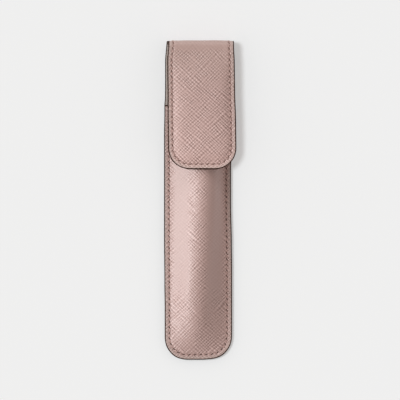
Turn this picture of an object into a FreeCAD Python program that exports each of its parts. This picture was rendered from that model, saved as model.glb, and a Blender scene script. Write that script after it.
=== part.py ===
import FreeCAD, Part
import math
import os

# A slim leather sleeve for one pen, lying on its back with its flap closed.
# X runs across the sleeve, Y along it towards the fold, and Z up out of its front.
# The origin lies under the middle of the body, on the plane that the back rests on.

# Panels, in millimetres
sleeve_length = 160.0
panel_width = 33.3
seam_corner_radius = 11.3
flap_reach = 64.3
flap_corner_radius = 10.3
mouth_drop = 32.6

# Sheets
leather_thickness = 1.0
lining_thickness = 0.5
board_thickness = 0.5
board_inset = 4.0
board_wrap = 0.8
board_fold_gap = 6.0
paint_thickness = 0.25

# Fold: outer bend radius, and how far the strip wanders to the right as it goes round
fold_radius = 3.0
back_drift = 0.5
fold_drift = 1.6
tip_drift = 2.4

# Pen space moulded into the front panel
bulge_inset = 3.2
bulge_height = 9.0
ridge_radius = 8.8
bulge_taper = 31.5

# Padded crown of the flap
crown_inset = 3.2
crown_height = 1.4
crown_fold_gap = 3.0
crown_rise = 20.0
crown_fall = 12.0
crown_lip = 0.05
flap_clearance = 0.3

# Lofts: sections per span, and how far round the panel's corners they go, in degrees
loft_steps = 6
corner_sweep = 80.0

# Sewing
stitch_inset = 2.25
stitch_pitch = 2.85
stitch_length = 2.3
stitch_crest = 1.3
stitch_width = 0.5
stitch_height = 0.4
stitch_slant = 12.0
groove_width = 1.0
leather_groove = 0.25
lining_groove = 0.2

# Hidden closure
magnet_diameter = 8.0
magnet_thickness = 0.8
magnet_clearance = 0.05
keeper_width = 8.0
keeper_length = 9.0
keeper_thickness = 0.5
keeper_mouth_gap = 2.0

# Levels and stations that follow from the sizes above
half_width = panel_width / 2
sheet = leather_thickness + lining_thickness
top_y = sleeve_length / 2
bottom_y = paint_thickness - sleeve_length / 2
fold_y = top_y - fold_radius
mouth_y = top_y - mouth_drop
tip_y = top_y - flap_reach + paint_thickness
closure_y = mouth_y - keeper_mouth_gap - keeper_length / 2
back_outer_z = board_thickness
back_leather_z = back_outer_z + leather_thickness
seam_z = back_leather_z + lining_thickness
front_lining_z = seam_z + lining_thickness
front_z = front_lining_z + leather_thickness
ridge_z = front_z + bulge_height
flap_low_z = ridge_z + flap_clearance
flap_leather_z = flap_low_z + lining_thickness
flap_z = flap_leather_z + leather_thickness
back_crease_z = back_outer_z + fold_radius
front_crease_z = flap_z - fold_radius

UP = FreeCAD.Vector(0, 0, 1)
DOWN = FreeCAD.Vector(0, 0, -1)
ACROSS = FreeCAD.Vector(1, 0, 0)
ALONG = FreeCAD.Vector(0, 1, 0)
SIDES = (-1, 1)


def rounded_path(points, radii):
    """Wire through the points, each inner corner rounded to its radius, zero for a sharp one."""
    edges = []
    start = points[0]
    for before, corner, after, radius in zip(points, points[1:], points[2:], radii):
        if radius == 0:
            edges.append(Part.makeLine(start, corner))
            start = corner
            continue
        back = (before - corner).normalize()
        on = (after - corner).normalize()
        half_angle = back.getAngle(on) / 2
        setback = radius / math.tan(half_angle)
        middle = corner + (back + on).normalize() * (radius / math.sin(half_angle) - radius)
        edges.append(Part.makeLine(start, corner + back * setback))
        edges.append(Part.Arc(corner + back * setback, middle, corner + on * setback).toShape())
        start = corner + on * setback
    edges.append(Part.makeLine(start, points[-1]))
    return Part.Wire(edges)


def plan(*pairs):
    """Points in the XY plane."""
    return [FreeCAD.Vector(x, y, 0) for x, y in pairs]


def front_path(inset):
    """U-shaped edge of the front panel, from the left of the mouth round to its right."""
    side = half_width - inset
    low = bottom_y + inset
    corner = seam_corner_radius - inset
    points = plan((-side, mouth_y), (-side, low), (side, low), (side, mouth_y))
    return rounded_path(points, (corner, corner))


def back_path(inset, top=fold_y, drift=back_drift):
    """Edge of the back, which goes on past the mouth as a strip up to the fold."""
    side = half_width - inset
    low = bottom_y + inset
    corner = seam_corner_radius - inset
    points = plan((drift - side, top), (-side, mouth_y), (-side, low),
                  (side, low), (side, mouth_y), (drift + side, top))
    return rounded_path(points, (0, corner, corner, 0))


def flap_centre(y):
    """Middle of the flap across the sleeve: it leans to the right on its way to the tip."""
    share = (fold_y - y) / (fold_y - tip_y)
    return fold_drift + (tip_drift - fold_drift) * share


def flap_path(inset):
    """U-shaped edge of the flap, from the left of the fold round its tip."""
    side = half_width - inset
    low = tip_y + inset
    corner = flap_corner_radius - inset
    points = plan((fold_drift - side, fold_y), (flap_centre(low) - side, low),
                  (flap_centre(low) + side, low), (fold_drift + side, fold_y))
    return rounded_path(points, (corner, corner))


def plate(path, low, high):
    """Flat sheet inside an open path, closed straight across its ends, between two levels."""
    ends = path.OrderedVertexes
    closing = Part.makeLine(ends[-1].Point, ends[0].Point)
    face = Part.Face(Part.Wire(path.OrderedEdges + [closing]))
    face.translate(UP * low)
    return face.extrude(UP * (high - low))


def polygon(points, thickness):
    """Straight-sided sheet, its outline pushed along the given vector."""
    return Part.Face(Part.makePolygon(points + points[:1])).extrude(thickness)


def groove(path_at, low, high):
    """Sunk line that a row of stitches lies in."""
    outside = plate(path_at(stitch_inset - groove_width / 2), low, high)
    return outside.cut(plate(path_at(stitch_inset + groove_width / 2), low, high))


def ring_sector(centre, first, second, inner, outer, start, end):
    """Face between two arcs; angles in degrees are counted from the first direction to the second."""
    def spot(radius, angle):
        turn = math.radians(angle)
        return centre + first * (radius * math.cos(turn)) + second * (radius * math.sin(turn))

    middle = (start + end) / 2
    edges = [Part.Arc(spot(outer, start), spot(outer, middle), spot(outer, end)).toShape(),
             Part.makeLine(spot(outer, end), spot(inner, end)),
             Part.Arc(spot(inner, end), spot(inner, middle), spot(inner, start)).toShape(),
             Part.makeLine(spot(inner, start), spot(outer, start))]
    return Part.Face(Part.Wire(edges))


def stitch(centre, direction, up):
    """One stitch: a short bar of thread that dips into its holes, lying on the groove's floor."""
    half = direction * (stitch_length / 2)
    crest = direction * (stitch_crest / 2)
    side = up.cross(direction) * stitch_width
    low = centre - side / 2
    top = low + up * stitch_height
    return polygon([low - half, low + half, top + crest, top - crest], side)


def stitch_row(path, up):
    """Evenly spaced stitches along a path, all slanted the same way to it."""
    slant = FreeCAD.Rotation(up, -stitch_slant)
    count = int(path.Length / stitch_pitch)
    stops = path.discretize(Number=2 * count + 1)
    rows = zip(stops[0::2], stops[1::2], stops[2::2])
    return [stitch(middle, slant.multVec((after - before).normalize()), up)
            for before, middle, after in rows]


def lifted(path, height):
    """The same path at another level."""
    path.translate(UP * height)
    return path


def end_spans(start_y, end_y, corner_radius, inset):
    """Stations (y, half width) of a form that runs out inside a panel's rounded end.

    The first span has even sides, the second follows the two corners round."""
    corner_y = end_y + corner_radius
    radius = corner_radius - inset
    shares = [step / loft_steps for step in range(loft_steps + 1)]
    turns = [math.radians(corner_sweep * share) for share in shares]
    even = [(start_y + (corner_y - start_y) * share, half_width - inset) for share in shares]
    rounded = [(corner_y - radius * math.sin(turn), half_width - corner_radius + radius * math.cos(turn))
               for turn in turns]
    return even, rounded


def tent_section(y, foot, height, depth):
    """Cross-section of the pen space: a round ridge on two straight slopes.

    depth is how far inside the leather's outer face the section lies."""
    rise = height - ridge_radius
    slope = math.atan2(rise, foot) + math.asin(ridge_radius / math.hypot(foot, rise))
    radius = ridge_radius - depth
    base = front_z - depth
    apex = front_z + height - depth
    shoulder = radius * math.sin(slope)
    shoulder_z = apex - radius + radius * math.cos(slope)
    inner_foot = shoulder + (shoulder_z - base) / math.tan(slope)
    left_foot = FreeCAD.Vector(-inner_foot, y, base)
    left_shoulder = FreeCAD.Vector(-shoulder, y, shoulder_z)
    right_shoulder = FreeCAD.Vector(shoulder, y, shoulder_z)
    right_foot = FreeCAD.Vector(inner_foot, y, base)
    ridge = Part.Arc(left_shoulder, FreeCAD.Vector(0, y, apex), right_shoulder).toShape()
    return Part.Wire([Part.makeLine(left_foot, left_shoulder), ridge,
                      Part.makeLine(right_shoulder, right_foot), Part.makeLine(right_foot, left_foot)])


def pen_space(depth):
    """Moulded form of the front panel: even from the mouth down, then running out to the seam.

    The outer face is smooth, and the hidden forms below it are ruled between the same stations."""
    taper_y = bottom_y + bulge_inset + bulge_taper
    form = Part.Face(tent_section(taper_y, half_width - bulge_inset, bulge_height, depth))
    form = form.extrude(ALONG * (mouth_y - taper_y))
    for span in end_spans(taper_y, bottom_y, seam_corner_radius, bulge_inset):
        sections = []
        for y, foot in span:
            run = (taper_y - y) / bulge_taper
            sections.append(tent_section(y, foot, bulge_height * (1 - run ** 2), depth))
        form = form.fuse(Part.makeLoft(sections, True, depth > 0))
    return form


def crown_section(y, side, base):
    """Cross-section of the flap's cushion: a low arc over its chord."""
    end_y = tip_y + crown_inset
    rise = min(1, (fold_y - crown_fold_gap - y) / crown_rise)
    fall = max(0, 1 - (y - end_y) / crown_fall)
    height = crown_lip + (crown_height - crown_lip) * math.sin(math.pi / 2 * rise) * (1 - fall ** 2)
    middle = FreeCAD.Vector(flap_centre(y), y, base)
    left = middle - ACROSS * side
    right = middle + ACROSS * side
    bow = Part.Arc(left, middle + UP * height, right).toShape()
    return Part.Wire([bow, Part.makeLine(right, left)])


def crown(base, ruled):
    """Low cushion of the flap: it swells away from the fold and runs out to the stitching."""
    forms = []
    for span in end_spans(fold_y - crown_fold_gap, tip_y, flap_corner_radius, crown_inset):
        forms.append(Part.makeLoft([crown_section(y, side, base) for y, side in span], True, ruled))
    return forms[0].fuse(forms[1])


def board_path(inset):
    """Edge of the stiffening board in the back."""
    share = (fold_y - board_fold_gap + inset - mouth_y) / (fold_y - mouth_y)
    return back_path(board_inset - inset, fold_y - board_fold_gap + inset, back_drift * share)


def back_pieces():
    """Back panel: leather drawn over a board, lined, with the thread sunk in its outer face."""
    board = plate(board_path(0), leather_thickness, back_leather_z)
    raised = plate(board_path(board_wrap), 0, leather_thickness)
    border = plate(back_path(0), back_outer_z, back_leather_z)
    leather = border.fuse(raised).cut(board)
    leather = leather.cut(groove(back_path, back_outer_z, back_outer_z + leather_groove))
    outer_row = stitch_row(lifted(back_path(stitch_inset), back_outer_z + leather_groove), DOWN)

    lining = plate(back_path(0), back_leather_z, seam_z)
    inner_row = []
    for side in SIDES:
        near = side * (half_width - stitch_inset)
        strip_line = Part.makeLine(FreeCAD.Vector(near, mouth_y, seam_z - lining_groove),
                                   FreeCAD.Vector(near + back_drift, fold_y, seam_z - lining_groove))
        half_groove = ACROSS * (groove_width / 2)
        first, last = [vertex.Point for vertex in strip_line.Vertexes]
        corners = [first - half_groove, first + half_groove, last + half_groove, last - half_groove]
        lining = lining.cut(polygon(corners, UP * lining_groove))
        inner_row += stitch_row(Part.Wire(strip_line), UP)
    return {"back_leather": leather, "back_board": board, "back_lining": lining,
            "seam_stitches_back": Part.makeCompound(outer_row),
            "strip_stitches_inside": Part.makeCompound(inner_row)}


def front_pieces():
    """Front panel: leather and lining moulded over the pen space, with the hidden steel keeper."""
    leather_form = pen_space(0)
    middle_form = pen_space(leather_thickness)
    lining_form = pen_space(sheet)
    ridge_axis = FreeCAD.Vector(0, closure_y - keeper_length / 2, ridge_z - ridge_radius)
    keeper_inner = ridge_radius - leather_thickness
    keeper_angle = math.degrees(keeper_width / 2 / keeper_inner)
    keeper = ring_sector(ridge_axis, ACROSS, UP, keeper_inner, keeper_inner + keeper_thickness,
                         90 - keeper_angle, 90 + keeper_angle).extrude(ALONG * keeper_length)

    leather = plate(front_path(0), front_lining_z, front_z).fuse(leather_form).cut(middle_form)
    leather = leather.cut(groove(front_path, front_z - leather_groove, front_z)).cut(keeper)
    lining = plate(front_path(0), seam_z, front_lining_z).fuse(middle_form).cut(lining_form)
    row = stitch_row(lifted(front_path(stitch_inset), front_z - leather_groove), UP)

    mouth = FreeCAD.Vector(-half_width, mouth_y, seam_z)
    border = Part.makeBox(panel_width, paint_thickness, sheet, mouth)
    arch, hollow = [Part.Face(tent_section(mouth_y, half_width - bulge_inset, bulge_height, depth))
                    .extrude(ALONG * paint_thickness) for depth in (0, sheet)]
    return {"front_leather": leather, "front_lining": lining, "closure_keeper": keeper,
            "seam_stitches_front": Part.makeCompound(row),
            "mouth_edge_paint": border.fuse(arch).cut(hollow).removeSplitter()}


def edge_coats():
    """Dark paint on the cut edges of the body seam and of the strip above the mouth."""
    seam = plate(front_path(-paint_thickness), back_outer_z, front_z)
    seam = seam.cut(plate(front_path(0), back_outer_z, front_z))
    strips = []
    for side in SIDES:
        cut_edge = side * half_width
        painted = side * (half_width + paint_thickness)
        corners = [FreeCAD.Vector(cut_edge, mouth_y, back_outer_z),
                   FreeCAD.Vector(cut_edge + back_drift, fold_y, back_outer_z),
                   FreeCAD.Vector(painted + back_drift, fold_y, back_outer_z),
                   FreeCAD.Vector(painted, mouth_y, back_outer_z)]
        strips.append(polygon(corners, UP * sheet))
    return {"seam_edge_paint": seam, "strip_edge_paint": Part.makeCompound(strips)}


def crease_pieces(name, axis_z, drift, start):
    """Quarter-round bend of the strip, from the given angle upwards, with its painted ends."""
    inner = fold_radius - sheet
    between = fold_radius - leather_thickness

    def bend(low_radius, high_radius, low_x, width):
        centre = FreeCAD.Vector(low_x, fold_y, axis_z)
        face = ring_sector(centre, ALONG, UP, low_radius, high_radius, start, start + 90)
        return face.extrude(ACROSS * width)

    left = drift - half_width
    coats = [bend(inner, fold_radius, left - paint_thickness, paint_thickness),
             bend(inner, fold_radius, left + panel_width, paint_thickness)]
    return {name + "_leather": bend(between, fold_radius, left, panel_width),
            name + "_lining": bend(inner, between, left, panel_width),
            name + "_edge_paint": Part.makeCompound(coats)}


def spine_sheet(left, right, outer_y, thickness):
    """Upright sheet between the two creases, leaning with the strip; left and right are from its middle."""
    corners = [FreeCAD.Vector(back_drift + left, outer_y, back_crease_z),
               FreeCAD.Vector(back_drift + right, outer_y, back_crease_z),
               FreeCAD.Vector(fold_drift + right, outer_y, front_crease_z),
               FreeCAD.Vector(fold_drift + left, outer_y, front_crease_z)]
    return polygon(corners, ALONG * -thickness)


def spine_pieces():
    """Short upright wall that the fold leaves over the end of the pen."""
    inner_y = top_y - sheet
    leather = spine_sheet(-half_width, half_width, top_y, leather_thickness)
    lining = spine_sheet(-half_width, half_width, top_y - leather_thickness, lining_thickness)
    coats = []
    rows = []
    for side in SIDES:
        near = side * (half_width - stitch_inset)
        low, high = near - groove_width / 2, near + groove_width / 2
        leather = leather.cut(spine_sheet(low, high, top_y, leather_groove))
        lining = lining.cut(spine_sheet(low, high, inner_y + lining_groove, lining_groove))
        for floor_y, up in ((top_y - leather_groove, ALONG), (inner_y + lining_groove, ALONG * -1)):
            line = Part.makeLine(FreeCAD.Vector(back_drift + near, floor_y, back_crease_z),
                                 FreeCAD.Vector(fold_drift + near, floor_y, front_crease_z))
            rows += stitch_row(Part.Wire(line), up)
        edges = sorted((side * half_width, side * (half_width + paint_thickness)))
        coats.append(spine_sheet(edges[0], edges[1], top_y, sheet))
    return {"spine_leather": leather, "spine_lining": lining,
            "spine_edge_paint": Part.makeCompound(coats), "spine_stitches": Part.makeCompound(rows)}


def flap_pieces():
    """Flap: leather crowned over thin padding, lined, sewn round its edge, with a hidden magnet."""
    magnet_at = FreeCAD.Vector(flap_centre(closure_y), closure_y, flap_leather_z)
    magnet = Part.makeCylinder(magnet_diameter / 2, magnet_thickness, magnet_at)
    pocket = Part.makeCylinder(magnet_diameter / 2 + magnet_clearance,
                               magnet_thickness + magnet_clearance, magnet_at)
    filling = crown(flap_leather_z, ruled=True)
    leather = plate(flap_path(0), flap_leather_z, flap_z).fuse(crown(flap_z, ruled=False)).cut(filling)
    leather = leather.cut(groove(flap_path, flap_z - leather_groove, flap_z))
    lining = plate(flap_path(0), flap_low_z, flap_leather_z)
    lining = lining.cut(groove(flap_path, flap_low_z, flap_low_z + lining_groove))
    outer_row = stitch_row(lifted(flap_path(stitch_inset), flap_z - leather_groove), UP)
    inner_row = stitch_row(lifted(flap_path(stitch_inset), flap_low_z + lining_groove), DOWN)
    coat = plate(flap_path(-paint_thickness), flap_low_z, flap_z)
    return {"flap_leather": leather, "flap_padding": filling.cut(pocket), "flap_lining": lining,
            "closure_magnet": magnet, "flap_stitches_outer": Part.makeCompound(outer_row),
            "flap_stitches_inside": Part.makeCompound(inner_row),
            "flap_edge_paint": coat.cut(plate(flap_path(0), flap_low_z, flap_z))}


pieces = {}
pieces.update(back_pieces())
pieces.update(front_pieces())
pieces.update(edge_coats())
pieces.update(crease_pieces("back_crease", back_crease_z, back_drift, -90))
pieces.update(spine_pieces())
pieces.update(crease_pieces("front_crease", front_crease_z, fold_drift, 0))
pieces.update(flap_pieces())

os.makedirs("parts", exist_ok=True)
for node, shape in pieces.items():
    shape.exportStep(os.path.join("parts", node + ".step"))
    state = "valid" if shape.isValid() else "INVALID"
    print(node, len(shape.Solids), "solids", round(shape.Volume, 2), "mm3", state)
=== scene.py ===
"""Looks of a slim leather pen sleeve: skins, painted edges and thread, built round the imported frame."""
import math

import bmesh
import bpy
import numpy as np
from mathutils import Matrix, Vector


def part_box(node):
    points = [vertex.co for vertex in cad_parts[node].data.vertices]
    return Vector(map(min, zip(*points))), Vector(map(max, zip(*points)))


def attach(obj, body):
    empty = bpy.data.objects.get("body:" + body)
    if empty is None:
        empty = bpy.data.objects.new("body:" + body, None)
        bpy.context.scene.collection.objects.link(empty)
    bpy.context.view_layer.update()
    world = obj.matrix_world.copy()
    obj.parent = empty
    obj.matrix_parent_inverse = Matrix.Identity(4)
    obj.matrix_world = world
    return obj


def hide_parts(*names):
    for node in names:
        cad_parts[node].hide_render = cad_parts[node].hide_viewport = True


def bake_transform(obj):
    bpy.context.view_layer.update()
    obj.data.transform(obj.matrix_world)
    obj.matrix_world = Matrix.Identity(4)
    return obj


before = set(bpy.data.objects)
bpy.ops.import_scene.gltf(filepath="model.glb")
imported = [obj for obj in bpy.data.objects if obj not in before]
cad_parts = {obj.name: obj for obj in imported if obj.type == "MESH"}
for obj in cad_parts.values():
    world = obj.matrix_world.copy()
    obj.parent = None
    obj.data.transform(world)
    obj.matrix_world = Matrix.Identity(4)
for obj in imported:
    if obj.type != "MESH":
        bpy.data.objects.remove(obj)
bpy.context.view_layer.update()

MM = 0.001
X, Y, Z = 0, 1, 2


def low(node, axis):
    """Lowest coordinate of a CAD node along an axis, in millimetres."""
    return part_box(node)[0][axis] / MM


def high(node, axis):
    """Highest coordinate of a CAD node along an axis, in millimetres."""
    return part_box(node)[1][axis] / MM


# Sizes read from the frame, in millimetres like all lengths that name no other unit
half_width = high("front_leather", X)
bottom_y = low("front_leather", Y)
mouth_y = high("front_leather", Y)
front_z = high("seam_edge_paint", Z)
back_outer_z = low("seam_edge_paint", Z)
bulge_height = high("front_leather", Z) - front_z
tip_y = low("flap_leather", Y)
fold_y = high("flap_leather", Y)
flap_z = high("flap_edge_paint", Z)
fold_radius = high("spine_leather", Y) - fold_y
back_crease_z = low("spine_leather", Z)
front_crease_z = high("spine_leather", Z)
lining_thickness = high("back_lining", Z) - low("back_lining", Z)
leather_thickness = low("back_lining", Z) - back_outer_z
board_raise = back_outer_z - low("back_leather", Z)
sheet = leather_thickness + lining_thickness
seam_thickness = front_z - back_outer_z
crown_height = high("flap_leather", Z) - flap_z

# Outline and moulded forms, the same as those of the solids
seam_corner_radius = 11.3
flap_corner_radius = 10.3
back_drift = 0.5
fold_drift = 1.6
tip_drift = 2.4
bulge_inset = 3.2
ridge_radius = 8.8
bulge_taper = 31.5
crown_inset = 3.2
crown_fold_gap = 3.0
crown_rise = 20.0
board_inset = 4.0
board_wrap = 0.8
board_fold_gap = 6.0

# Stations along the flattened strip
bend_radius = fold_radius - sheet / 2
bend_length = math.pi / 2 * bend_radius
spine_half = (front_crease_z - back_crease_z) / 2
strip_top = fold_y + bend_length + spine_half
taper_y = bottom_y + bulge_inset + bulge_taper

# Pen space: the ridge leans to the right on its way up, less so under the flap, and ends in a dome
ridge_lean = 0.068
ridge_level_y = -39.0
ridge_lean_limit = 3.1
lower_lean_share = 0.5
lean_loss = 0.85
lean_loss_range = (tip_y - 16, mouth_y - 12)
dome_share = 0.8
dome_range = (0.25, 0.85)
foot_softness = 0.7
slope_step = 0.05

# Crown of the flap: full shoulders, and a shorter fall at the tip than the solid's
crown_fall = 8.0
fall_power = 4
shoulder_share = 0.5
shoulder_power = 8
crown_softness = 0.16

# Sewn edge: rolled at the cut, drawn down by the thread, full beside it, fainter on the lining
edge_roll = 0.42
stitch_inset = 2.25
stitch_dip = 0.24
dip_width = 0.36
stitch_pull = 0.3
inner_fullness = 0.06
fullness_gap = 1.4
fullness_width = 0.8
lining_share = 0.6

# Waviness of the leather: height, radians per millimetre along and across and phase of each wave, and
# where it comes
wave_height = 0.035
waves = ((0.31, 0.17, 0.6), (0.19, -0.41, 2.1))
wave_insets = (2, 5)
wave_mouth_range = (mouth_y - 4, mouth_y - 0.5)

# Fold: narrower and lower at its sides
fold_pinch = 0.5
pinch_range = (fold_y - 7, fold_y + 2)
fold_bow = 0.3
bow_power = 4
bow_range = (fold_y - 2, fold_y + bend_length)

# Sides and lower end: each row gives an amount by which the edge is drawn in, or let out if it is below
# zero, and the places where it starts, is full, starts to end and has ended
right_side = [(0.4, -22, -2, mouth_y - 34, mouth_y - 20),
              (-0.12, bottom_y + 5, bottom_y + 15, -34, -22)]
left_side = [(0.16, bottom_y + 5.5, bottom_y + 10, -54, -42),
             (-0.15, -40, -20, mouth_y - 14, mouth_y - 4)]
strip_sides = [(0.22, mouth_y, mouth_y + 4, fold_y - 24, fold_y - 4)]
waist = (fold_y - 36, fold_y - 24, fold_y - 4, fold_y + 2)
flap_right_side = [(0.27, *waist)]
flap_left_side = [(0.12, *waist)]
lower_end = [(0.24, 2, 6, 8, 13),
             (-0.3, -half_width - 2, -half_width - 1, -13, -7)]
end_lift = 0.07
end_range = (bottom_y, bottom_y + 8)

# Flap: wider to the left from the fold on, with a wider border there, and longer at its tip, where the
# paint is thicker
flap_spread = 0.2
spread_range = (fold_y - 8, fold_y + 2)
sewn_line_x = stitch_inset - half_width
left_border = [(0.22, -half_width, sewn_line_x, sewn_line_x, 9 - half_width)]
left_border_range = (fold_y - 8, fold_y)
tip_drop = 0.14
tip_range = (tip_y, tip_y + 8)
tip_coat = 0.2

# Edge paint: a coat with squarish rounded corners that laps a little onto both faces
paint_thickness = 0.25
edge_paint_lap = 0.24
strip_paint_lap = 0.15
paint_skin = 0.03
lap_edge_share = 0.4
lap_middle_share = 0.5
corner_power = 0.42
coat_points = 9
coat_face_width = 0.4
strip_points = 70

# Thread and needle holes, with angles in degrees
stitch_pitch = 2.85
stitch_length = 2.05
stitch_slant = 14.0
stitch_rings = 9
stitch_spokes = 10
thread_radius = 0.25
thread_plies = 3
thread_turns = 1.6
ply_relief = 0.09
end_slimming = 0.25
stitch_lift = 0.75
stitch_sink = 2.1
sink_power = 3
hole_half_length = 0.85
hole_half_width = 0.22
hole_slant = 24.0
hole_lift = 0.06
hole_depth = 0.2
hole_spokes = 8

# Padding in the flap, with a recess for the magnet
pad_row_step = 1.2
recess_gap = 0.05
recess_end = 0.8

# Insets of the rings of points along the edge of leather, lining and padding
LEATHER_RINGS = [0, 0.06, 0.16, 0.3, 0.45, 0.8, 1.3, 1.65, 1.95, 2.25, 2.55, 2.85, 3.2, 3.7, 4.4, 5.2]
LINING_RINGS = [0, 0.3, 0.9, 1.5, 1.9, 2.25, 2.6, 3.0, 3.8, 5.0]
PAD_RINGS = [3.3, 4.0, 5.0]

# Grain that the leather loses where it is stretched, and the share of it that lies on the second diagonal
fold_grain_loss = 0.78
fold_stretch_range = (fold_y - 3.5, fold_y - 0.5)
front_grain_share = 0.84
slope_grain_loss = 0.82
slope_sides = (3, 6)
slope_heights = (0.3, 2)
slope_range = (taper_y - 9, taper_y + 5)
strip_lay = 0.42
front_lay = 0.51

# Brightness of the leather on the strip that folds over and on the front panel, with one row across it.
# Painted light and shade: the strip is painted brighter than the front panel, which is the same leather,
# with painted shade towards the fold and a painted highlight at the flap's tip; the front panel's right
# border has a painted highlight below and a painted shadow under the flap above, and its right slope has
# painted shade
strip_brightness = 1.11
fold_painted_shade = 0.1
fold_painted_shade_range = (tip_y, fold_y - 12)
tip_painted_highlight = 0.06
tip_painted_highlight_range = (tip_y + 4, tip_y + 11)
front_brightness = 0.987
end_dimming = 0.05
border_sides = (12, 15)
border_painted_highlight = 0.1
border_painted_shadow = 0.22
border_painted_shadow_range = (-40, 5)
slope_painted_shade = [(0.07, 4, 8, 10, 14)]
slope_painted_shade_range = (taper_y - 14, taper_y)

# Grain of the leather: angle in degrees, pitch and seed of each family of ridges, and how fast their sway
# and their breaks change across and along them
grain_families = ((47, 1.28, 3.7), (-46, 1.33, 9.2))
sway_scale = (0.25, 0.06)
sway_radians = 2.7
break_scale = (0.55, 0.4)
break_seed = 5
patch_scale = 0.2
pore_share = 0.16
grain_share = 0.27
grain_level = 0.5

# Names of the flat pattern and of the marks that the leather's material reads at each point
FLAT_MAP = "flat_mm"
INSET = "inset_mm"
GRAIN = "grain_share"
LAY = "grain_lay"
# The tone mark carries brightness, much of it painted light and shade
TONE = "tone"
SHARP_ANGLE = math.radians(48)

# Where most of a noise lies
NOISE_SPAN = (0.3, 0.7)

# Floor, with half its side in metres, and the share of its brightness that no shadow takes away
floor_half_side = 6.0
floor_drop = 0.05
floor_glow = 0.41

# Lamps: name, tilt to the left and to the top in degrees, angular width in degrees, strength, and whether
# the lamp leaves out the floor (EXCLUDE) or lights the floor alone (INCLUDE)
lamps = [
    ("side", 60, 0, 40, 1.85, "EXCLUDE"),
    ("low_side", 72, 0, 30, 0.76, "EXCLUDE"),
    ("upper", 0, 60, 30, 0.65, "EXCLUDE"),
    ("floor_key", 15.7, 5, 12, 1.75, "INCLUDE"),
]
lamp_colour = (0.93, 1.0, 1.02)
room_light = 0.505
room_colour = (1.0, 0.925, 0.865, 1)

# Camera
view_width = 200.4
view_centre = (0.95, 0.1)
camera_height = 6000.0
sensor_width = 36.0


def ease(value, start, end):
    """Smooth step from 0 at start to 1 at end."""
    share = np.clip((value - start) / (end - start), 0, 1)
    return share * share * (3 - 2 * share)


def fade(value, start, end):
    """Smooth step from 1 at start to 0 at end."""
    return ease(-value, -end, -start)


def swell(place, rows):
    """Sum of the amounts of some rows at a place."""
    return sum(amount * ease(place, start, full) * fade(place, fading, end)
               for amount, start, full, fading, end in rows)


def soft_floor(value, softness):
    """The value where it is above zero, eased into zero below."""
    return (value + np.sqrt(value * value + softness * softness)) / 2


def end_half_width(y, end, corner_radius, inset):
    """Half the width, at an inset, of a panel that ends in two rounded corners."""
    drop = np.clip(end + corner_radius - y, 0, corner_radius - inset)
    return half_width - corner_radius + np.sqrt((corner_radius - inset) ** 2 - drop ** 2)


def edge_distance(x, y):
    """How far a point of the front panel lies inside its edge, up to the radius of its corners."""
    aside = np.maximum(np.abs(x) - half_width + seam_corner_radius, 0)
    below = np.maximum(bottom_y + seam_corner_radius - y, 0)
    return seam_corner_radius - np.hypot(aside, below)


def tent(x, y):
    """Height of the moulded pen space over the front panel's border: a round ridge on two slopes."""
    foot = end_half_width(y, bottom_y, seam_corner_radius, bulge_inset)
    lean = ridge_lean * (y - ridge_level_y) * (1 - lean_loss * ease(y, *lean_loss_range))
    lean = np.where(lean < 0, lean * lower_lean_share, np.minimum(lean, ridge_lean_limit))
    foot = foot + lean * np.where(x < lean, 1, -1)
    beyond = bulge_inset - edge_distance(x, y)
    x = x - lean
    run = np.clip((taper_y - y) / bulge_taper, 0, 1)
    rise = bulge_height * (1 - run ** 2) - ridge_radius
    slope = np.arctan2(rise, foot) + np.arcsin(ridge_radius / np.hypot(foot, rise))
    ridge = rise + np.sqrt(np.maximum(ridge_radius ** 2 - x ** 2, 0))
    flank = (foot - np.abs(x)) * np.tan(slope)
    form = np.where(np.abs(x) < ridge_radius * np.sin(slope), ridge, flank)
    dome = (rise + ridge_radius) * (1 - (x / foot) ** 2)
    form = form + (dome - form) * dome_share * ease(run, *dome_range)
    end_slope = 2 * bulge_height / bulge_taper
    form = np.where(beyond > 0, np.minimum(form, -beyond * end_slope), form)
    return soft_floor(form, foot_softness)


def crown(x, s):
    """Height of the padded crown over the flap's border."""
    side = end_half_width(s, tip_y, flap_corner_radius, crown_inset)
    rise = np.clip((fold_y - crown_fold_gap - s) / crown_rise, 0, 1)
    fall = np.clip(1 - (s - tip_y - crown_inset) / crown_fall, 0, 1)
    height = crown_height * np.sin(math.pi / 2 * rise) * (1 - fall ** fall_power)
    across = np.abs(x) / side
    section = 1 - (1 - shoulder_share) * across ** 2 - shoulder_share * across ** shoulder_power
    return soft_floor(height * section, crown_softness) - crown_softness / 2


def board(x, s):
    """How far the board inside lifts the leather of the back."""
    side = half_width - board_inset
    top = fold_y - board_fold_gap
    corner = seam_corner_radius - board_inset
    reach = np.hypot(np.maximum(np.abs(x) - side + corner, 0),
                     np.maximum(bottom_y + seam_corner_radius - s, 0))
    across = fade(np.abs(x), side, side + board_wrap)
    upper = fade(s, top, top + board_wrap)
    lower = fade(reach, corner, corner + board_wrap)
    return board_raise * np.minimum(np.minimum(across, upper), lower)


def folded(x, s, h):
    """Flat station to (x, y, depth): the strip bends up round a crease, h is outwards from its face."""
    turn = np.clip((s - fold_y) / bend_radius, 0, math.pi / 2)
    radius = fold_radius + h
    y = np.minimum(s, fold_y) + radius * np.sin(turn)
    y = y - fold_bow * np.abs(x / half_width) ** bow_power * ease(s, *bow_range)
    depth = fold_radius - radius * np.cos(turn) + np.maximum(s - fold_y - bend_length, 0)
    return x * (1 - fold_pinch / half_width * ease(s, *pinch_range)), y, depth


def fold_lean(way_round):
    """Sideways drift of the strip round the fold; way_round is 0 at the back and 1 at the flap."""
    return back_drift + (fold_drift - back_drift) * ease(way_round, 0, 1)


def drawn_in(x, s):
    """Place across the body, with its sides drawn in or let out a little."""
    sides = np.where(x > 0, swell(s, right_side), swell(s, left_side)) + swell(s, strip_sides)
    return x - sides * x / half_width


def raised(x, s):
    """How far the lower end of the body is drawn up."""
    return (end_lift + swell(x, lower_end)) * fade(s, *end_range)


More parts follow.
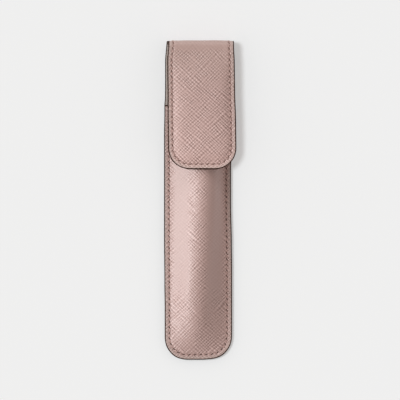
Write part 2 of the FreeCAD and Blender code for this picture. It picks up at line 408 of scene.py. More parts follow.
def place_back(x, s, h):
    """Back of the sleeve and lower half of the spine; h is outwards, downwards in the flat part."""
    lift = raised(x, s)
    x, y, depth = folded(drawn_in(x, s), s, h)
    way_round = (s - fold_y) / (2 * (strip_top - fold_y))
    leaning = back_drift * np.clip((s - mouth_y) / (fold_y - mouth_y), 0, 1)
    drift = np.where(s < fold_y, leaning, fold_lean(way_round))
    return np.stack([x + drift, y + lift, back_outer_z + depth], axis=-1)


def place_flap(x, s, h):
    """Flap and upper half of the spine; h is outwards, upwards in the flat part."""
    x, y, depth = folded(x - swell(x, left_border) * fade(s, *left_border_range), s, h)
    way_round = 1 - (s - fold_y) / (2 * (strip_top - fold_y))
    leaning = fold_drift + (tip_drift - fold_drift) * (fold_y - s) / (fold_y - tip_y)
    drift = np.where(s < fold_y, leaning, fold_lean(way_round))
    spread = flap_spread * fade(s, *spread_range)
    sides = np.where(x > 0, swell(s, flap_right_side), swell(s, flap_left_side))
    x = x * (1 - sides / half_width)
    y = y - tip_drop * fade(s, *tip_range) - tip_coat * np.clip((tip_y - s) / paint_thickness, 0, 1)
    return np.stack([x * (1 + spread / half_width) - spread + drift, y, flap_z - depth], axis=-1)


def place_front(x, s, h):
    """Front panel: h is along the normal of its moulded face."""
    across = (tent(x + slope_step, s) - tent(x - slope_step, s)) / (2 * slope_step)
    along = (tent(x, s + slope_step) - tent(x, s - slope_step)) / (2 * slope_step)
    length = np.sqrt(1 + across ** 2 + along ** 2)
    return np.stack([drawn_in(x, s) - h * across / length, s + raised(x, s) - h * along / length,
                     front_z + tent(x, s) + h / length], axis=-1)


def place_seam(x, s, h):
    """Edge of the body; h is upwards from the front's face, down to the flat face of the back."""
    level = front_z + h + tent(x, s) * (1 + h / seam_thickness)
    return np.stack([drawn_in(x, s), s + raised(x, s), level], axis=-1)


def back_inside(x, s, h):
    """Lined face of the back; h is outwards from the lining."""
    return place_back(x, s, -sheet - h)


def flap_inside(x, s, h):
    """Lined face of the flap; h is outwards from the lining."""
    return place_flap(x, s, -sheet - h)


def directions(at, travel, step=0.1):
    """Unit directions of a line at given travels."""
    ahead = at(travel + step) - at(travel - step)
    return ahead / np.linalg.norm(ahead, axis=1)[:, None]


def sewn_row(at, count, pitch):
    """Centres and directions of the stitches along a line, then those of the holes between them."""
    centres = (np.arange(count) + 0.5) * pitch
    holes = np.arange(1, count) * pitch
    return at(centres), directions(at, centres), at(holes), directions(at, holes)


class Panel:
    """A strip with parallel sides and one rounded end, in flat coordinates: x across, s along."""

    def __init__(self, top, end, corner_radius, row_step=0.6, corner_steps=22, columns=30):
        self.top = top
        self.end = end
        self.corner_radius = corner_radius
        self.corner_steps = corner_steps
        self.columns = columns
        self.side_steps = round((top - end - corner_radius) / row_step)
        self.rows = self.side_steps + corner_steps + 1
        self.stations = 2 * self.rows + columns - 1
        seam = self.path(stitch_inset)
        runs = np.linalg.norm(np.diff(seam, axis=0), axis=1)
        self.travel = np.concatenate([[0], np.cumsum(runs)])
        self.stitches = int(self.travel[-1] / stitch_pitch)
        self.pitch = self.travel[-1] / self.stitches

    def path(self, inset):
        """Edge at an inset, from the top left round the end to the top right."""
        centre_x = half_width - self.corner_radius
        centre_s = self.end + self.corner_radius
        radius = self.corner_radius - inset
        turn = np.linspace(0, math.pi / 2, self.corner_steps + 1)[1:]
        side = np.linspace(self.top, centre_s, self.side_steps + 1)
        left = np.column_stack([
            np.concatenate([np.full(len(side), inset - half_width), -centre_x - radius * np.cos(turn)]),
            np.concatenate([side, centre_s - radius * np.sin(turn)])])
        across = np.linspace(-centre_x, centre_x, self.columns + 1)[1:-1]
        end = np.column_stack([across, np.full(len(across), self.end + inset)])
        return np.vstack([left, end, left[::-1] * (-1, 1)])

    def row(self):
        """Stitches and holes along the sewn line."""
        seam = self.path(stitch_inset)

        def at(travel):
            return np.column_stack([np.interp(travel, self.travel, seam[:, i]) for i in (X, Y)])

        return sewn_row(at, self.stitches, self.pitch)

    def grid(self, insets):
        """Flat points, their insets and travel, quads and outline: rings by the edge, rows within."""
        rings = np.array([self.path(inset) for inset in insets])
        count = self.stations
        last = (len(insets) - 1) * count
        inner = rings[-1]
        shares = np.linspace(0, 1, self.columns + 1)[1:-1, None]
        rows = [inner[i] + (inner[count - 1 - i] - inner[i]) * shares for i in range(self.rows - 1)]
        first_inner = len(insets) * count

        def spot(i, j):
            if i == self.rows - 1:
                return last + i + j
            if j == 0:
                return last + i
            if j == self.columns:
                return last + count - 1 - i
            return first_inner + i * (self.columns - 1) + j - 1

        quads = [(k * count + i, k * count + i + 1, (k + 1) * count + i + 1, (k + 1) * count + i)
                 for k in range(len(insets) - 1) for i in range(count - 1)]
        quads += [(spot(i, j), spot(i + 1, j), spot(i + 1, j + 1), spot(i, j + 1))
                  for i in range(self.rows - 1) for j in range(self.columns)]
        outline = list(range(count))
        outline += [k * count + count - 1 for k in range(1, len(insets))]
        outline += [spot(0, j) for j in range(self.columns - 1, 0, -1)]
        outline += [k * count for k in range(len(insets) - 1, 0, -1)]
        points = np.vstack([rings.reshape(-1, 2)] + rows)
        within = len(points) - first_inner
        well_inside = 2.0 * insets[-1]
        depth = np.concatenate([np.repeat(insets, count), np.full(within, well_inside)])
        travel = np.concatenate([np.tile(self.travel, len(insets)), np.zeros(within)])
        return points, depth, travel, quads, outline


front_panel = Panel(mouth_y, bottom_y, seam_corner_radius)
back_panel = Panel(strip_top, bottom_y, seam_corner_radius)
flap_panel = Panel(strip_top, tip_y, flap_corner_radius)


def sewn_relief(panel, inset, travel):
    """Relief of a sewn edge: rolled over at the edge, drawn down by the thread, full inside it."""
    roll = np.clip(1 - inset / edge_roll, 0, 1)
    rolled = -edge_roll * (1 - np.sqrt(1 - roll ** 2))
    pull = 1 + stitch_pull * np.cos(2 * math.pi * travel / panel.pitch)
    dip = -stitch_dip * pull * np.exp(-((inset - stitch_inset) / dip_width) ** 2)
    full = inner_fullness * np.exp(-((inset - stitch_inset - fullness_gap) / fullness_width) ** 2)
    return rolled + dip + full


def unevenness(x, s, inset):
    """Slight waviness of hand-cut leather inside its sewn edge."""
    swing = sum(np.sin(along * s + across * x + phase) for along, across, phase in waves)
    return wave_height * swing * ease(inset, *wave_insets)


def new_piece(name, points, faces, flat, finishes, face_finish=None, marks=None):
    """Closed, smooth-shaded mesh from points in millimetres, with its flat pattern as a UV map."""
    mesh = bpy.data.meshes.new(name)
    mesh.from_pydata((points * MM).tolist(), [], faces)
    corners = np.zeros(len(mesh.loops), np.int32)
    mesh.loops.foreach_get("vertex_index", corners)
    layer = mesh.uv_layers.new(name=FLAT_MAP)
    layer.data.foreach_set("uv", flat[corners].astype(np.float32).ravel())
    for mark, values in (marks or {}).items():
        mesh.attributes.new(mark, "FLOAT", "POINT").data.foreach_set("value", values.astype(np.float32))
    if face_finish is not None:
        mesh.polygons.foreach_set("material_index", np.array(face_finish, np.int32))
    build = bmesh.new()
    build.from_mesh(mesh)
    bmesh.ops.recalc_face_normals(build, faces=build.faces)
    build.to_mesh(mesh)
    build.free()
    mesh.polygons.foreach_set("use_smooth", np.ones(len(mesh.polygons), bool))
    mesh.set_sharp_from_angle(angle=SHARP_ANGLE)
    for finish in finishes:
        mesh.materials.append(finish)
    piece = bpy.data.objects.new(name, mesh)
    bpy.context.scene.collection.objects.link(piece)
    return piece


def fold_grain(x, s):
    """Share of the grain that is left where the leather is stretched over the fold."""
    return 1 - fold_grain_loss * ease(s, *fold_stretch_range)


def front_grain(x, s):
    """Share of the grain that is left where the leather is stretched on the slopes of the pen space."""
    slopes = ease(np.abs(x), *slope_sides) * ease(tent(x, s), *slope_heights)
    return front_grain_share * (1 - slope_grain_loss * slopes * ease(s, *slope_range))


def strip_tone(x, s):
    """Brightness of the strip that folds over: painted shade darker towards the fold, and a painted highlight
    paler towards the tip of the flap.
    """
    # Painted shade darkens the strip towards the fold, and a painted highlight pales it at the tip
    dimmed = strip_brightness - fold_painted_shade * ease(s, *fold_painted_shade_range)
    return dimmed + tip_painted_highlight * fade(s, *tip_painted_highlight_range)


def front_tone(x, s):
    """Brightness of the front panel: darker towards its lower end, with painted shade on the right slope,
    and on the right border a painted highlight below and a painted shadow under the flap above."""
    # Painted highlight low on the right border, and a painted shadow under the flap above it
    border = border_painted_highlight - border_painted_shadow * ease(s, *border_painted_shadow_range)
    # Painted shade on the right slope
    slope = swell(x, slope_painted_shade) * ease(s, *slope_painted_shade_range)
    dimmed = front_brightness - end_dimming * fade(s, bottom_y, mouth_y)
    return dimmed + border * ease(x, *border_sides) - slope


def skin(name, panel, insets, place, outer, inner, finish, grain=fold_grain, lay=strip_lay, tone=strip_tone):
    """Sheet of leather or lining between two heights over a panel."""
    flat, inset, travel, quads, outline = panel.grid(insets)
    x, s = flat.T
    upper = place(x, s, outer(x, s, inset, travel))
    under = place(x, s, inner(x, s, inset, travel))
    count = len(flat)
    faces = quads + [tuple(count + i for i in reversed(quad)) for quad in quads]
    for a, b in zip(outline, outline[1:] + outline[:1]):
        faces.append((a, count + a, count + b, b))
    marks = {INSET: np.tile(inset, 2), GRAIN: np.tile(grain(x, s), 2), LAY: np.full(2 * count, lay),
             TONE: np.tile(tone(x, s), 2)}
    pattern = np.tile(flat, (2, 1))
    return new_piece(name, np.vstack([upper, under]), faces, pattern, [finish], marks=marks)


def swept(profile, line, place):
    """Points, faces and flat pattern of a closed profile of (inset, height) swept along a line."""
    tracks = [line(inset) for inset, height in profile]
    points = np.array([place(track[:, 0], track[:, 1], np.full(len(track), height))
                       for track, (inset, height) in zip(tracks, profile)])
    rows, count = points.shape[:2]
    faces = []
    for row in range(rows):
        following = (row + 1) % rows
        faces += [(row * count + i, row * count + i + 1, following * count + i + 1, following * count + i)
                  for i in range(count - 1)]
    faces.append(tuple(row * count for row in range(rows)))
    faces.append(tuple(row * count + count - 1 for row in reversed(range(rows))))
    girth = np.repeat(np.arange(rows) * coat_face_width, count)
    runs = np.linalg.norm(np.diff(tracks[0], axis=0), axis=1)
    travel = np.tile(np.concatenate([[0], np.cumsum(runs)]), rows)
    return points.reshape(-1, 3), faces, np.column_stack([girth, travel])


def joined(parts):
    """Several (points, faces, flat pattern) as one."""
    points, faces, flat, start = [], [], [], 0
    for part_points, part_faces, part_flat in parts:
        points.append(part_points)
        flat.append(part_flat)
        faces += [tuple(start + i for i in face) for face in part_faces]
        start += len(part_points)
    return np.vstack(points), faces, np.vstack(flat)


def bead_profile(thickness, paint_lap):
    """Rounded coat of paint over a cut edge, lapping a little onto both faces."""
    half = thickness / 2
    outside = []
    for turn in np.linspace(0, math.pi, coat_points):
        out = math.sin(turn) ** corner_power
        up = math.copysign(abs(math.cos(turn)) ** corner_power, math.cos(turn))
        outside.append((-paint_thickness * out, -half + (half + paint_skin) * up))
    lap = [(paint_lap, paint_skin * lap_edge_share), (paint_lap * lap_middle_share, paint_skin)]
    under = [(inset, -thickness - height) for inset, height in reversed(lap)]
    return lap + outside + under


def turned(heads, degrees):
    """Flat directions turned to the left by an angle."""
    turn = math.radians(degrees)
    return heads @ np.array([[math.cos(turn), math.sin(turn)], [-math.sin(turn), math.cos(turn)]])


def left_of(heads):
    """Flat directions turned to the left by a right angle."""
    return np.column_stack([-heads[:, 1], heads[:, 0]])


def stitches(centres, heads, place, slant, dip):
    """Points, faces and flat pattern of a row's stitches: short twisted threads that dive at both ends."""
    heads = turned(heads, slant)
    share = np.linspace(-1, 1, stitch_rings)
    angle = np.linspace(0, 2 * math.pi, stitch_spokes + 1)[:-1]
    twist = thread_plies * angle[None, :] + 2 * math.pi * thread_turns * share[:, None]
    towards_end = np.abs(share[:, None]) ** sink_power
    radius = thread_radius * (1 + ply_relief * np.cos(twist)) * (1 - end_slimming * towards_end)
    lift = -dip + thread_radius * stitch_lift - thread_radius * stitch_sink * towards_end
    height = lift + radius * np.sin(angle)
    aside = radius * np.cos(angle)
    run, girth = np.meshgrid(share * stitch_length / 2, thread_radius * angle, indexing="ij")
    flat = (centres[:, None, None, :] + heads[:, None, None, :] * run[None, :, :, None]
            + left_of(heads)[:, None, None, :] * aside[None, :, :, None])
    points = place(flat[..., 0], flat[..., 1], np.broadcast_to(height, flat.shape[:3])).reshape(-1, 3)
    faces = []
    for first in range(0, len(points), stitch_rings * stitch_spokes):
        for ring in range(first, first + (stitch_rings - 1) * stitch_spokes, stitch_spokes):
            for spoke in range(stitch_spokes):
                beside = (spoke + 1) % stitch_spokes
                faces.append((ring + spoke, ring + beside,
                              ring + stitch_spokes + beside, ring + stitch_spokes + spoke))
        last = first + (stitch_rings - 1) * stitch_spokes
        faces.append(tuple(first + spoke for spoke in reversed(range(stitch_spokes))))
        faces.append(tuple(last + spoke for spoke in range(stitch_spokes)))
    wound = np.tile(np.column_stack([run.ravel(), girth.ravel()]), (len(centres), 1))
    return points, faces, wound


def needle_holes(centres, heads, place, slant, dip):
    """Points, faces and flat pattern of a row's needle holes: slanted slits that follow the groove."""
    slits = turned(heads, -math.copysign(hole_slant, slant))
    rim = np.linspace(0, 2 * math.pi, hole_spokes + 1)[:-1]
    ring = (slits[:, None, :] * (hole_half_length * np.cos(rim))[None, :, None]
            + left_of(slits)[:, None, :] * (hole_half_width * np.sin(rim))[None, :, None])
    aside = np.sum(ring * left_of(heads)[:, None, :], axis=2)
    groove = (1 + stitch_pull) * dip
    floor = hole_lift - groove
    rims = floor + groove * (1 - np.exp(-(aside / dip_width) ** 2))
    count = len(centres)
    levels = np.column_stack([rims, np.full(count, floor), np.full(count, floor - hole_depth)])
    middles = np.repeat(centres[:, None, :], 2, axis=1)
    spots = np.concatenate([centres[:, None, :] + ring, middles], axis=1)
    points = place(spots[..., 0], spots[..., 1], levels).reshape(-1, 3)
    faces = []
    for first in range(0, len(points), hole_spokes + 2):
        middle = first + hole_spokes
        for spoke in range(hole_spokes):
            here = first + spoke
            beside = first + (spoke + 1) % hole_spokes
            faces.append((here, beside, middle))
            faces.append((beside, here, middle + 1))
    return points, faces, spots.reshape(-1, 2)


def strip_row(side):
    """Stitches and holes on the lined strip above the mouth, up to the middle of the spine."""
    length = strip_top - mouth_y
    count = int(length / stitch_pitch)

    def at(travel):
        return np.column_stack([np.full(len(travel), side * (half_width - stitch_inset)), mouth_y + travel])

    return sewn_row(at, count, length / count)


def sewn(name, rows, place, slant, finishes, share=1.0):
    """Thread piece of one or more rows; share is how deep it sinks against the outer leather."""
    parts = []
    face_finish = []
    for centres, heads, hole_centres, hole_heads in rows:
        row_parts = [stitches(centres, heads, place, slant, share * stitch_dip),
                     needle_holes(hole_centres, hole_heads, place, slant, share * stitch_dip)]
        for number, part in enumerate(row_parts):
            face_finish += [number] * len(part[1])
        parts += row_parts
    return new_piece(name, *joined(parts), finishes, face_finish)


class Finish:
    """A node material; each call adds a node and returns one of its outputs."""

    def __init__(self, name):
        self.material = bpy.data.materials.new(name)
        self.material.use_nodes = True
        self.tree = self.material.node_tree
        self.shader = self.tree.nodes["Principled BSDF"]

    def feed(self, socket, value):
        """Link an output to a socket, or set the socket to a value."""
        if isinstance(value, bpy.types.NodeSocket):
            self.tree.links.new(value, socket)
        else:
            socket.default_value = value

    def add(self, kind, inputs, output=0, **settings):
        """Output of a new node."""
        node = self.tree.nodes.new("ShaderNode" + kind)
        for name, value in settings.items():
            setattr(node, name, value)
        for name, value in inputs.items():
            self.feed(node.inputs[name], value)
        return node.outputs[output]

    def math(self, operation, *values):
        """One sum on numbers."""
        return self.add("Math", dict(enumerate(values)), operation=operation)

    def vector(self, operation, *values, output="Vector"):
        """One sum on vectors."""
        return self.add("VectorMath", dict(enumerate(values)), output, operation=operation)

    def noise(self, vector, scale=1.0, detail=2.0):
        """Noise about 0.5."""
        return self.add("TexNoise", {"Vector": vector, "Scale": scale, "Detail": detail}, "Fac")

    def span(self, value, source, target):
        """A value carried over from one span to another."""
        return self.add("MapRange", {"Value": value, "From Min": source[0], "From Max": source[1],
                                     "To Min": target[0], "To Max": target[1]})

    def mix(self, share, first, second):
        """Colour between two others."""
        return self.add("Mix", {0: share, 6: first, 7: second}, 2, data_type="RGBA")

    def flat(self):
        """Place in the flat pattern."""
        return self.add("UVMap", {}, uv_map=FLAT_MAP)

    def mark(self, name):
        """Value that the mesh holds at each point."""
        return self.add("Attribute", {}, "Fac", attribute_name=name)

    def bump(self, height, depth):
        """Bump whose height of 0 to 1 stands for a depth in millimetres."""
        return self.add("Bump", {"Height": height, "Distance": depth * MM, "Strength": 1.0})

    def shade(self, **values):
        """The material, with these values on its shader."""
        for name, value in values.items():
            self.feed(self.shader.inputs[name.replace("_", " ")], value)
        return self.material


def rgb(red, green, blue):
    """Linear colour with full alpha, from 0-255 display values."""
    def linear(value):
        value /= 255
        return value / 12.92 if value <= 0.04045 else ((value + 0.055) / 1.055) ** 2.4
    return (linear(red), linear(green), linear(blue), 1.0)


def ridge_family(finish, flat, angle, pitch, seed):
    """Relief of one family of ridges, about zero: they sway, break off and fade in patches."""
    turn = math.radians(angle)
    across = finish.vector("DOT_PRODUCT", flat, (math.cos(turn), math.sin(turn), 0), output="Value")
    along = finish.vector("DOT_PRODUCT", flat, (-math.sin(turn), math.cos(turn), 0), output="Value")

    def stretched_noise(scale, depth):
        spot = finish.add("CombineXYZ", {"X": finish.math("MULTIPLY", across, scale[X]),
                                         "Y": finish.math("MULTIPLY", along, scale[Y]), "Z": depth})
        return finish.noise(spot, detail=1.0)

    sway = finish.span(stretched_noise(sway_scale, seed), (0.25, 0.75), (-sway_radians, sway_radians))
    phase = finish.math("MULTIPLY_ADD", across, 2 * math.pi / pitch, sway)
    place = finish.vector("MULTIPLY_ADD", flat, (patch_scale, patch_scale, 0), (seed, seed, seed))
    patch = finish.span(finish.noise(place), (0.38, 0.62), (0.4, 1.0))
    broken = finish.span(stretched_noise(break_scale, seed + break_seed), (0.36, 0.64), (0.45, 1.3))
    return finish.math("MULTIPLY", finish.math("SINE", phase), finish.math("MULTIPLY", patch, broken))


def leather_finish():
    """Cross-grain leather: two families of fine pressed ridges on the diagonals, patchy and uneven."""
    hollow_colour = rgb(143, 109, 102)
    crest_colour = rgb(216, 182, 176)
    cloud_colour = rgb(186, 152, 145)
    # Painted shade colour for the flap's upper part towards the fold
    fold_shade_colour = rgb(172, 144, 135)
    border_colour = rgb(180, 162, 155)
    finish = Finish("cross_grain_leather")
    flat = finish.flat()
    lay = finish.mark(LAY)
    shares = (finish.math("SUBTRACT", 1.0, lay), lay)
    ridges = []
    for family, share in zip(grain_families, shares):
        ridge = ridge_family(finish, flat, *family)
        ridges.append(finish.math("MULTIPLY", ridge, finish.math("MULTIPLY", share, 2.0)))
    weave = finish.math("ADD", *ridges)
    pores = finish.noise(flat, scale=3.4, detail=3.0)
    grain = finish.math("MULTIPLY", finish.math("MULTIPLY_ADD", pores, pore_share, weave), finish.mark(GRAIN))
    height = finish.math("MULTIPLY_ADD", grain, grain_share, grain_level)

    # Colour follows the grain's height: darker hollows and paler crests, partly the leather's own pressed
    # colour and partly painted shade in the hollows and a painted sheen on the crests
    pressed = finish.mix(finish.span(height, (0.2, 0.8), (0, 1)), hollow_colour, crest_colour)
    clouds = finish.span(finish.noise(flat, scale=0.07, detail=3.0), (0.35, 0.65), (0, 0.35))
    clouded = finish.mix(clouds, pressed, cloud_colour)
    # Painted shade: the flap's upper part is mixed into a duller, darker colour towards the fold
    station = finish.add("SeparateXYZ", {"Vector": flat}, "Y")
    near_fold = finish.span(station, (fold_y - 24, fold_y - 2), (0.0, 0.4))
    fold_shaded = finish.mix(near_fold, clouded, fold_shade_colour)
    near_edge = finish.span(finish.mark(INSET), (0.8, 1.9), (0.45, 0.0))
    worn = finish.mix(near_edge, fold_shaded, border_colour)
    colour = finish.add("HueSaturation", {"Color": worn, "Value": finish.mark(TONE)})
    roughness = finish.span(height, (0.25, 0.75), (0.6, 0.5))
    return finish.shade(Base_Color=colour, Roughness=roughness, IOR=1.5, Specular_IOR_Level=1.0,
                        Sheen_Weight=0.2, Sheen_Roughness=0.5, Normal=finish.bump(height, depth=0.3))


def lining_finish():
    """Fine, matt lining leather, a little greyer than the outside."""
    dark_nap = rgb(161, 147, 140)
    light_nap = rgb(185, 172, 165)
    cloud_colour = rgb(171, 155, 147)
    finish = Finish("lining_leather")
    flat = finish.flat()
    nap = finish.noise(flat, scale=2.2, detail=4.0)
    clouds = finish.span(finish.noise(flat, scale=0.12), (0.4, 0.6), (0, 0.3))
    fine = finish.mix(finish.span(nap, NOISE_SPAN, (0, 1)), dark_nap, light_nap)
    roughness = finish.span(nap, NOISE_SPAN, (0.72, 0.85))
    return finish.shade(Base_Color=finish.mix(clouds, fine, cloud_colour), Roughness=roughness,
                        Sheen_Weight=0.15, Sheen_Roughness=0.5, Normal=finish.bump(nap, depth=0.06))


def thread_finish():
    """Tonal twisted thread with fine fibres."""
    dark_fibre = rgb(172, 139, 131)
    light_fibre = rgb(224, 191, 184)
    finish = Finish("twisted_thread")
    wound = finish.flat()
    strands = finish.add("TexWave", {"Vector": wound, "Scale": 1.1, "Distortion": 1.5},
                         wave_type="BANDS", bands_direction="DIAGONAL")
    fibres = finish.noise(wound, scale=9.0)
    colour = finish.mix(finish.math("MULTIPLY", strands, fibres), dark_fibre, light_fibre)
    return finish.shade(Base_Color=colour, Roughness=finish.span(fibres, NOISE_SPAN, (0.5, 0.7)),
                        Sheen_Weight=0.1, Normal=finish.bump(strands, depth=0.05))


def hole_finish(name, dark, light):
    """Needle hole, dark with painted shade for its inside."""
    finish = Finish(name)
    flat = finish.flat()
    colour = finish.mix(finish.noise(flat, scale=2.0), dark, light)
    roughness = finish.span(finish.noise(flat, scale=4.0), NOISE_SPAN, (0.8, 0.95))
    return finish.shade(Base_Color=colour, Roughness=roughness)


def paint_finish():
    """Dark edge paint, brushed on: slightly uneven, semi-matt, rubbed a little lighter in places."""
    dark_coat = rgb(41, 21, 12)
    light_coat = rgb(58, 35, 24)
    rubbed_coat = rgb(80, 54, 42)
    brush_stretch = (2.5, 0.6, 1)
    finish = Finish("edge_paint")
    flat = finish.flat()
    brushed = finish.noise(finish.vector("MULTIPLY", flat, brush_stretch), detail=3.0)
    rubbed = finish.span(finish.noise(flat, scale=0.18, detail=3.0), (0.5, 0.75), (0.0, 0.6))
    colour = finish.mix(rubbed, finish.mix(brushed, dark_coat, light_coat), rubbed_coat)
    return finish.shade(Base_Color=colour, Specular_IOR_Level=0.03,
                        Roughness=finish.span(brushed, NOISE_SPAN, (0.42, 0.6)),
                        Normal=finish.bump(brushed, depth=0.05))


def inner_finish(name, dark, light, scale, roughness, metallic=0.0, stretch=(1, 1, 1)):
    """Plain inner material, mottled along a stretch of its own coordinates in millimetres."""
    roughness_play = 0.08
    finish = Finish(name)
    place = finish.add("TexCoord", {}, "Object")
    spot = finish.vector("MULTIPLY", place, tuple(value / MM for value in stretch))
    mottle = finish.noise(spot, scale, detail=4.0)
    uneven = finish.span(mottle, NOISE_SPAN, (roughness - roughness_play, roughness + roughness_play))
    return finish.shade(Base_Color=finish.mix(mottle, dark, light), Metallic=metallic, Roughness=uneven,
                        Normal=finish.bump(mottle, depth=0.04))


leather = leather_finish()
lining = lining_finish()
twist = thread_finish()
# Needle holes are dark with painted shade; those of the seam through all layers are painted darker
thread = [twist, hole_finish("needle_hole", rgb(94, 65, 57), rgb(120, 88, 79))]
seam_thread = [twist, hole_finish("deep_needle_hole", rgb(54, 34, 28), rgb(80, 54, 46))]
paint = paint_finish()
felt = inner_finish("felt_padding", rgb(196, 190, 180), rgb(226, 221, 212), scale=1.2, roughness=0.9)


def on_sleeve(piece, slot, *nodes):
    """The piece is fixed to the body of the sleeve."""
    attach(piece, "sleeve")
    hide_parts(*nodes)


def over_back_crease(piece, slot, *nodes):
    """The piece reaches round the crease between the sleeve and the spine; its placing is baked into its
    mesh.
    """
    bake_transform(piece)
    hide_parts(*nodes)


def over_front_crease(piece, slot, *nodes):
    """The piece reaches round the crease between the spine and the flap; its placing is baked into its mesh.
    """
    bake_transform(piece)
    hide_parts(*nodes)


def padded_under(x, s, inset, travel):
    """Inner face of the flap's leather, which is also the upper face of the padding."""
    return crown(x, s) - leather_thickness


def make_skins():
    """Leather and lining of the back, front and flap."""
    def back_outer(x, s, inset, travel):
        return board(x, s) + sewn_relief(back_panel, inset, travel)

    def back_under(x, s, inset, travel):
        return board(x, s) - leather_thickness

    def flap_outer(x, s, inset, travel):
        return crown(x, s) + sewn_relief(flap_panel, inset, travel) + unevenness(x, s, inset)

    def front_outer(x, s, inset, travel):
        return sewn_relief(front_panel, inset, travel) + unevenness(x, s, inset) * fade(s, *wave_mouth_range)

    def sunk(depth):
        return lambda x, s, inset, travel: np.full(len(x), -depth)

    def lined(panel):
        return lambda x, s, inset, travel: -sheet - sewn_relief(panel, inset, travel) * lining_share

    over_back_crease(skin("back_leather_skin", back_panel, LEATHER_RINGS, place_back, back_outer,
                          back_under, leather),
                     "outer_leather", "back_leather", "back_crease_leather")
    over_front_crease(skin("flap_leather_skin", flap_panel, LEATHER_RINGS, place_flap, flap_outer,
                           padded_under, leather),
                      "outer_leather", "flap_leather", "front_crease_leather", "spine_leather")
    on_sleeve(skin("front_leather_skin", front_panel, LEATHER_RINGS, place_front, front_outer,
                   sunk(leather_thickness), leather, front_grain, front_lay, front_tone),
              "outer_leather", "front_leather")
    over_back_crease(skin("back_lining_skin", back_panel, LINING_RINGS, place_back,
                          sunk(leather_thickness), lined(back_panel), lining),
                     "lining_leather", "back_lining", "back_crease_lining")
    over_front_crease(skin("flap_lining_skin", flap_panel, LINING_RINGS, place_flap,
                           sunk(leather_thickness), lined(flap_panel), lining),
                      "lining_leather", "flap_lining", "front_crease_lining", "spine_lining")
    on_sleeve(skin("front_lining_skin", front_panel, LINING_RINGS, place_front,
                   sunk(leather_thickness), sunk(sheet), lining),
              "lining_leather", "front_lining")


def make_edges():
    """Dark painted edges."""
    def strip_line(side):
        stations = np.linspace(mouth_y, strip_top, strip_points)
        return lambda inset: np.column_stack([np.full(len(stations), side * (half_width - inset)), stations])

    rings = np.array(LEATHER_RINGS) - half_width
    middle = np.linspace(rings[-1], -rings[-1], front_panel.columns + 1)[1:-1]
    across = np.concatenate([rings, middle, -rings[::-1]])

    def mouth_line(inset):
        return np.column_stack([across, np.full(len(across), mouth_y - inset)])

    seam = swept(bead_profile(seam_thickness, edge_paint_lap), front_panel.path, place_seam)
    mouth = swept(bead_profile(sheet, edge_paint_lap), mouth_line, place_front)
    strips = joined([swept(bead_profile(sheet, strip_paint_lap), strip_line(side), place_back)
                     for side in (-1, 1)])
    flap = swept(bead_profile(sheet, edge_paint_lap), flap_panel.path, place_flap)
    on_sleeve(new_piece("seam_edge_bead", *seam, [paint]), "edge_paint", "seam_edge_paint")
    on_sleeve(new_piece("mouth_edge_bead", *mouth, [paint]), "edge_paint", "mouth_edge_paint")
    over_back_crease(new_piece("strip_edge_bead", *strips, [paint]), "edge_paint",
                     "strip_edge_paint", "back_crease_edge_paint")
    over_front_crease(new_piece("flap_edge_bead", *flap, [paint]), "edge_paint",
                      "flap_edge_paint", "front_crease_edge_paint", "spine_edge_paint")


def make_thread():
    """Sewing thread on both faces of the seams."""
    on_sleeve(sewn("seam_thread_front", [front_panel.row()], place_front, -stitch_slant, seam_thread),
              "thread", "seam_stitches_front")
    over_back_crease(sewn("seam_thread_back", [back_panel.row()], place_back, stitch_slant, seam_thread),
                     "thread", "seam_stitches_back")
    over_back_crease(sewn("strip_thread_inside", [strip_row(-1), strip_row(1)], back_inside,
                          -stitch_slant, thread, lining_share),
                     "thread", "strip_stitches_inside")
    over_front_crease(sewn("flap_thread_outer", [flap_panel.row()], place_flap, -stitch_slant, thread),
                      "thread", "flap_stitches_outer", "spine_stitches")
    over_front_crease(sewn("flap_thread_inside", [flap_panel.row()], flap_inside,
                           stitch_slant, thread, lining_share),
                      "thread", "flap_stitches_inside")


def make_inside():
    """What the leather hides: padding in the flap, board in the back, magnet and keeper."""
    magnet_x = (low("closure_magnet", X) + high("closure_magnet", X)) / 2
    magnet_y = (low("closure_magnet", Y) + high("closure_magnet", Y)) / 2
    magnet_radius = (high("closure_magnet", X) - low("closure_magnet", X)) / 2
    magnet_thickness = high("closure_magnet", Z) - low("closure_magnet", Z)
    pad_panel = Panel(fold_y - crown_fold_gap, tip_y, flap_corner_radius, row_step=pad_row_step)

    def pad_low(x, s, inset, travel):
        spot = place_flap(x, s, np.zeros(len(x)))
        reach = np.hypot(spot[:, X] - magnet_x, spot[:, Y] - magnet_y)
        beyond = reach - magnet_radius
        recess = magnet_thickness * fade(beyond, recess_gap, recess_end)
        return np.minimum(recess, crown(x, s)) - leather_thickness

    pad = skin("flap_pad", pad_panel, PAD_RINGS, place_flap, padded_under, pad_low, felt)
    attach(pad, "flap")
    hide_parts("flap_padding")
    finishes = {
        "back_board": inner_finish("leather_board", rgb(112, 88, 70), rgb(146, 119, 98), 0.9, 0.8),
        "closure_magnet": inner_finish("nickel_plate", rgb(176, 174, 170), rgb(206, 204, 200), 0.8, 0.25,
                                       metallic=1.0),
        "closure_keeper": inner_finish("spring_steel", rgb(140, 142, 145), rgb(176, 178, 181), 0.7, 0.35,
                                       metallic=1.0, stretch=(6, 0.4, 1)),
    }
    for node, finish in finishes.items():
        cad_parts[node].data.materials.clear()
        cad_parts[node].data.materials.append(finish)


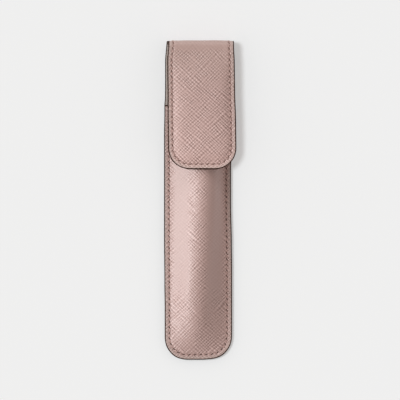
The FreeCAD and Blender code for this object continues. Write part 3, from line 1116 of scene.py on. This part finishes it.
def floor_finish():
    """Pale floor that glows a little to the eye, so that the shadow on it stays light."""
    dark_floor = (0.876, 0.874, 0.886, 1)
    light_floor = (0.88, 0.878, 0.89, 1)
    glow_colour = (0.847, 0.847, 0.847, 1)
    finish = Finish("pale_floor")
    mottle = finish.noise(finish.add("TexCoord", {}, "Object"), scale=3.0)
    finish.shade(Base_Color=finish.mix(mottle, dark_floor, light_floor), Roughness=0.9,
                 Specular_IOR_Level=0.0)
    seen = finish.add("LightPath", {}, "Is Camera Ray")
    for ray in ("Is Glossy Ray", "Is Transmission Ray"):
        seen = finish.math("MAXIMUM", seen, finish.add("LightPath", {}, ray))
    glow = finish.add("Emission", {"Color": glow_colour, "Strength": 1.0})
    surface = finish.add("MixShader", {0: finish.math("MULTIPLY", seen, floor_glow),
                                       1: finish.shader.outputs[0], 2: glow})
    finish.feed(finish.tree.nodes["Material Output"].inputs["Surface"], surface)
    return finish.material


def make_floor():
    """Pale floor just under the sleeve."""
    mesh = bpy.data.meshes.new("floor")
    corners = [(-1, -1), (1, -1), (1, 1), (-1, 1)]
    mesh.from_pydata([(x * floor_half_side, y * floor_half_side, 0) for x, y in corners], [], [(0, 1, 2, 3)])
    mesh.materials.append(floor_finish())
    floor = bpy.data.objects.new("floor", mesh)
    floor.location.z = -floor_drop * MM
    bpy.context.scene.collection.objects.link(floor)
    return floor


def make_light(floor):
    """Soft light from the left and the top, a lamp for the floor alone, and the light of the room."""
    for name, tilt_left, tilt_up, spread, strength, on_floor in lamps:
        lamp = bpy.data.lights.new(name, "SUN")
        lamp.energy = strength
        lamp.color = lamp_colour
        lamp.angle = math.radians(spread)
        sun = bpy.data.objects.new(name, lamp)
        sun.rotation_euler = (-math.radians(tilt_up), -math.radians(tilt_left), 0)
        bpy.context.scene.collection.objects.link(sun)
        receivers = bpy.data.collections.new(name + "_receivers")
        receivers.objects.link(floor)
        receivers.collection_objects[0].light_linking.link_state = on_floor
        sun.light_linking.receiver_collection = receivers
    world = bpy.data.worlds.new("soft_room")
    world.use_nodes = True
    world.node_tree.nodes["Background"].inputs["Color"].default_value = room_colour
    world.node_tree.nodes["Background"].inputs["Strength"].default_value = room_light
    bpy.context.scene.world = world


def make_camera():
    """Camera straight above, far away."""
    lens = bpy.data.cameras.new("camera")
    lens.sensor_width = sensor_width
    lens.lens = sensor_width * camera_height / view_width
    camera = bpy.data.objects.new("camera", lens)
    camera.location = (view_centre[X] * MM, view_centre[Y] * MM, (camera_height + front_z) * MM)
    bpy.context.scene.collection.objects.link(camera)
    bpy.context.scene.camera = camera
    bpy.context.scene.view_settings.view_transform = "Standard"


make_skins()
make_edges()
make_thread()
make_inside()
make_light(make_floor())
make_camera()
